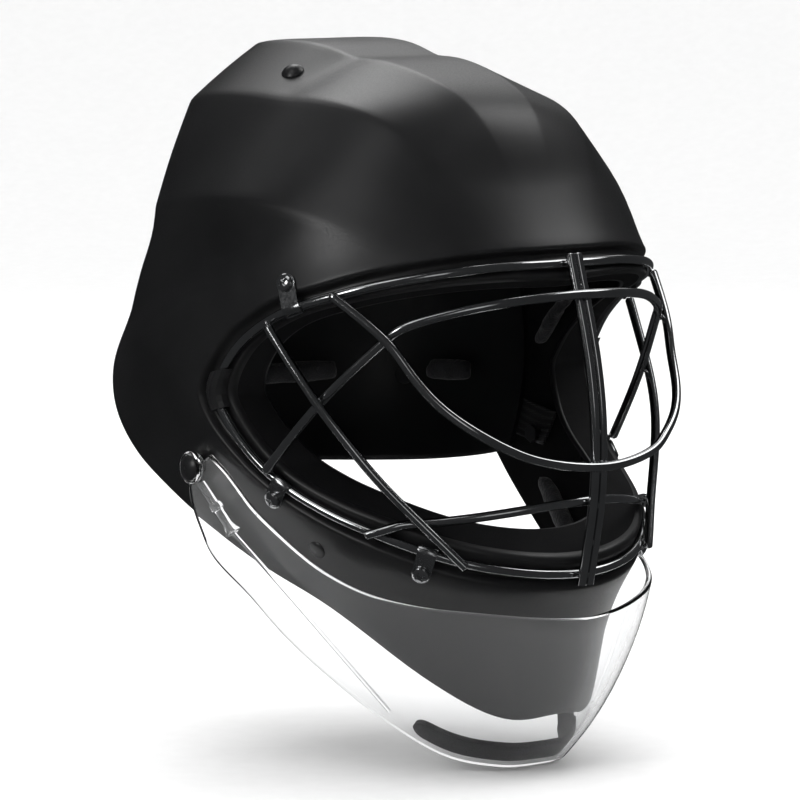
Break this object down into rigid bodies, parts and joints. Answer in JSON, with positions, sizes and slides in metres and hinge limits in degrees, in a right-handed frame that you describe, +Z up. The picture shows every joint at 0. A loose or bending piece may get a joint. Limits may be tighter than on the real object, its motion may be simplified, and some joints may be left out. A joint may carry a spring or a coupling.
{
  "type": "sports goalkeeper helmet",
  "caption": "Moulded goalkeeper helmet with a wire face cage, sliding back plate, foam pads and a clear swinging throat guard",
  "frame": {"origin": "The middle of the wearer's head at eye level, halfway between the two sides", "axes": "+Z up through the crown, -Y out of the face opening, +X to the wearer's left"},
  "size_m": [0.237, 0.266, 0.334],
  "materials": {
    "shell_black": "satin",
    "foam": "matte",
    "cage_chrome": "polished",
    "clip_steel": "satin",
    "webbing": "matte",
    "clear_guard": "clear",
    "moulded_black": "satin"
  },
  "bodies": {
    "shell": {"front_shell": "shell_black", "brow_pad": "foam", "crown_pad": "foam", "temple_pads": "foam", "jaw_pads": "foam", "chin_pad": "foam", "cage_ring": "cage_chrome", "cage_centre_bars": "cage_chrome", "cage_eye_wire": "cage_chrome", "cage_chin_wire": "cage_chrome", "cage_side_wires": "cage_chrome", "cage_mouth_wire": "cage_chrome", "upper_clips": "clip_steel", "jaw_clips": "clip_steel", "chin_clips": "clip_steel", "cage_saddles": "moulded_black", "clip_screws": "clip_steel", "clip_nuts": "clip_steel", "saddle_screws": "clip_steel", "crown_rivets": "moulded_black", "chin_strap_plugs": "moulded_black", "crown_straps": "webbing", "side_straps": "webbing", "guard_pins": "moulded_black", "guard_spacers": "moulded_black"},
    "back_plate": {"back_plate": "shell_black", "back_pad": "foam", "nape_pad": "foam", "plate_side_pads": "foam", "plate_rivets": "moulded_black"},
    "throat_guard": {"throat_guard": "clear_guard", "guard_foam_strip": "foam", "guard_hooks": "clear_guard", "guard_toggles": "clear_guard", "guard_cords": "clear_guard"}
  },
  "joints": [
    {"name": "throat_guard_hinge", "type": "hinge", "parent": "shell", "child": "throat_guard", "pos_m": [0, 0.0155, -0.0365], "axis": [-1, 0, 0], "range_deg": [-6, 5]},
    {"name": "back_plate_slide", "type": "slide", "parent": "shell", "child": "back_plate", "axis": [0, 1, 0], "range_m": [0, 0.015], "stiffness_N_per_m": 400, "deforming": ["crown_straps", "side_straps"]}
  ]
}
